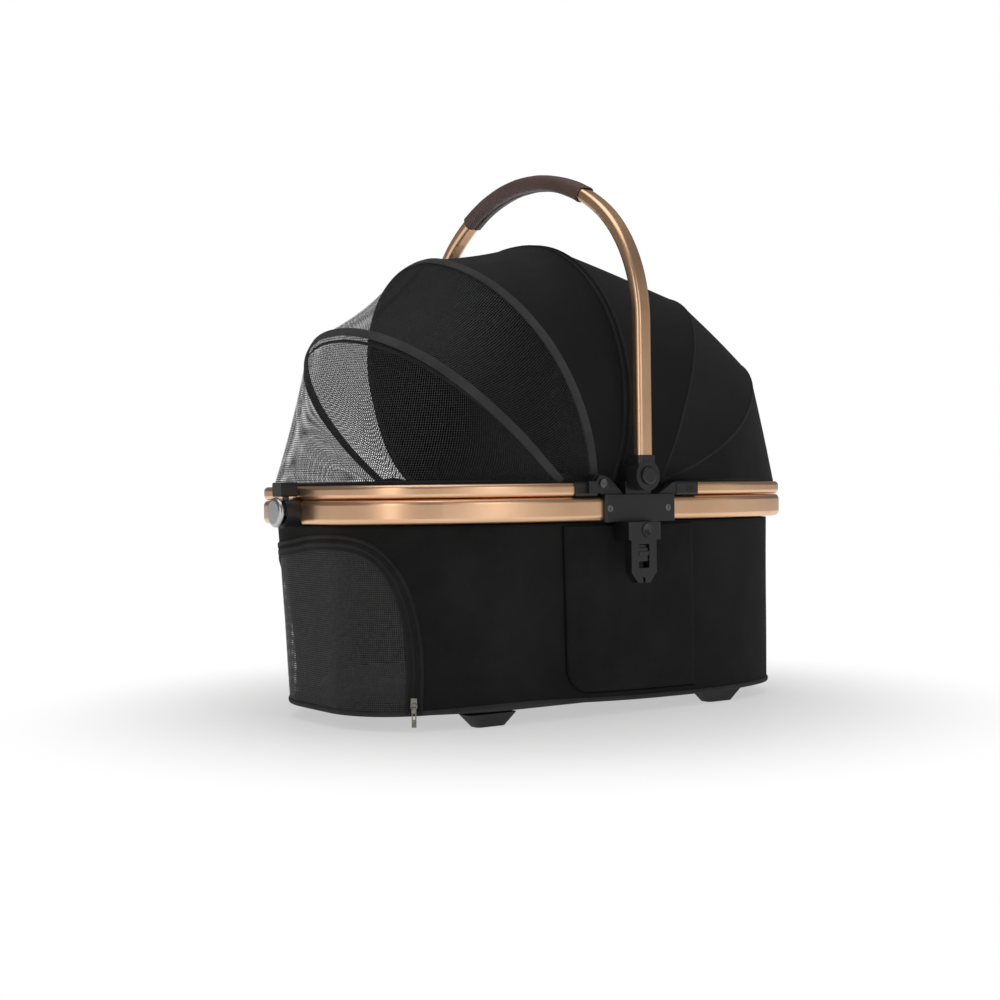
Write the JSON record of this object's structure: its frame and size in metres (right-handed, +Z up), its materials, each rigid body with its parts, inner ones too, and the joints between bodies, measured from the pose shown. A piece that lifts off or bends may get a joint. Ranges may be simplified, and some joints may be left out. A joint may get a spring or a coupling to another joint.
{
  "type": "pet stroller carrier",
  "caption": "Fabric pet carrier in an oval tube frame, with a domed canopy that opens at the front, a mesh door, an arched carry handle and side adapters for a chassis.",
  "frame": {"origin": "on the floor under the middle of the whole object", "axes": "+Z up, -X towards the opening front with the latch, left side is -Y"},
  "size_m": [0.646, 0.449, 0.6193],
  "materials": {
    "gold_tube": "satin rose-gold metallic",
    "black_plastic": "fine-textured moulded nylon",
    "black_satin": "satin",
    "steel": "machined, bright zinc",
    "knob": "satin grey",
    "canopy_fabric": "black coated polyester weave",
    "mesh": "black open knitted net",
    "binding": "woven dark grey tape",
    "basket_fabric": "black brushed oxford cloth, padded",
    "piping": "dark grey woven tape",
    "leather": "embossed dark brown",
    "rubber": "matt",
    "board": "stiff panel",
    "cushion": "quilted pad",
    "zip": "polished"
  },
  "bodies": {
    "carrier": {"adapter_bracket_left": "black_plastic", "adapter_bracket_right": "black_plastic", "adapter_springs": "steel", "base_board": "board", "base_piping": "piping", "basket_fabric": "basket_fabric", "canopy_edge_bow": "binding", "canopy_rear": "canopy_fabric", "canopy_rear_bow": "black_satin", "canopy_shoulder_bow": "black_satin", "canopy_top_bow": "black_satin", "connector_left": "black_plastic", "connector_right": "black_plastic", "connector_screws": "steel", "cushion": "cushion", "door_zip_tape": "binding", "foot_front_left": "rubber", "foot_front_right": "rubber", "foot_rear_left": "rubber", "foot_rear_right": "rubber", "frame_front_tube": "gold_tube", "frame_rear_tube": "gold_tube", "handle_pivot_pins": "steel", "hub_base_left": "black_plastic", "hub_base_right": "black_plastic", "latch_housing": "black_plastic", "lid_hinge_pins": "steel", "mesh_door": "mesh", "rear_fitting_left": "black_plastic", "rear_fitting_right": "black_plastic", "rear_top_tube": "gold_tube", "side_pocket_left": "basket_fabric", "side_pocket_right": "basket_fabric"},
    "front_bow": {"canopy_front_bow": "binding", "mesh_upper": "mesh", "front_bow_arm_left": "black_satin", "front_bow_arm_right": "black_satin"},
    "lid": {"lid_tube": "gold_tube", "lid_fitting_left": "black_plastic", "lid_fitting_right": "black_plastic", "latch_tongue": "black_satin", "mesh_lower": "mesh"},
    "handle": {"handle_tube": "gold_tube", "handle_grip": "leather", "hub_collar_left": "black_satin", "hub_collar_right": "black_satin", "hub_springs": "steel"},
    "hub_button_left_body": {"hub_button_left": "black_satin"},
    "hub_button_right_body": {"hub_button_right": "black_satin"},
    "latch_knob_body": {"latch_knob": "knob"},
    "adapter_button_left_body": {"adapter_button_left": "black_satin"},
    "adapter_button_right_body": {"adapter_button_right": "black_satin"},
    "adapter_catch_left_body": {"adapter_catch_left": "black_satin"},
    "adapter_catch_right_body": {"adapter_catch_right": "black_satin"},
    "zip_slider_body": {"zip_slider": "zip"},
    "zip_pull_body": {"zip_pull": "zip"}
  },
  "joints": [
    {"name": "front_bow_hinge", "type": "hinge", "parent": "carrier", "child": "front_bow", "pos_m": [-0.035, 0, 0.256], "axis": [0, 1, 0], "range_deg": [0, 26]},
    {"name": "lid_hinge", "type": "hinge", "parent": "front_bow", "child": "lid", "pos_m": [-0.035, 0, 0.256], "axis": [0, 1, 0], "range_deg": [0, 26]},
    {"name": "handle_swing", "type": "hinge", "parent": "carrier", "child": "handle", "pos_m": [0.013, 0, 0.264], "axis": [0, 1, 0], "range_deg": [0, 90]},
    {"name": "hub_button_left_press", "type": "slide", "parent": "handle", "child": "hub_button_left_body", "axis": [0, 1, 0], "range_m": [0, 0.003], "stiffness_N_per_m": 900, "springref_m": -0.0025},
    {"name": "hub_button_right_press", "type": "slide", "parent": "handle", "child": "hub_button_right_body", "axis": [0, -1, 0], "range_m": [0, 0.003], "stiffness_N_per_m": 900, "springref_m": -0.0025},
    {"name": "latch_press", "type": "slide", "parent": "carrier", "child": "latch_knob_body", "axis": [1, 0, 0], "range_m": [0, 0.004], "stiffness_N_per_m": 900, "springref_m": -0.0025},
    {"name": "adapter_button_left_press", "type": "slide", "parent": "carrier", "child": "adapter_button_left_body", "axis": [0, 1, 0], "range_m": [0, 0.003], "stiffness_N_per_m": 900, "springref_m": -0.0025},
    {"name": "adapter_catch_left_tilt", "type": "hinge", "parent": "carrier", "child": "adapter_catch_left_body", "pos_m": [0.00825, -0.212, 0.188], "axis": [1, 0, 0], "range_deg": [0, 12.1]},
    {"name": "adapter_button_right_press", "type": "slide", "parent": "carrier", "child": "adapter_button_right_body", "axis": [0, -1, 0], "range_m": [0, 0.003], "stiffness_N_per_m": 900, "springref_m": -0.0025},
    {"name": "adapter_catch_right_tilt", "type": "hinge", "parent": "carrier", "child": "adapter_catch_right_body", "pos_m": [0.00825, 0.212, 0.188], "axis": [-1, 0, 0], "range_deg": [0, 12.1]},
    {"name": "zip_run", "type": "slide", "parent": "carrier", "child": "zip_slider_body", "axis": [-0.0479, -0.0749, 0.996], "range_m": [0, 0.03]},
    {"name": "zip_pull_swing", "type": "hinge", "parent": "zip_slider_body", "child": "zip_pull_body", "pos_m": [-0.22817, -0.12857, 0.02866], "axis": [-0.8425, 0.5388, 0], "range_deg": [0, 110]}
  ],
  "couplings": [
    {"joint": "front_bow_hinge", "follows": "lid_hinge", "ratio": 1},
    {"joint": "adapter_catch_left_tilt", "follows": "adapter_button_left_press", "rad_per_m": 69.8},
    {"joint": "adapter_catch_right_tilt", "follows": "adapter_button_right_press", "rad_per_m": 69.8}
  ]
}
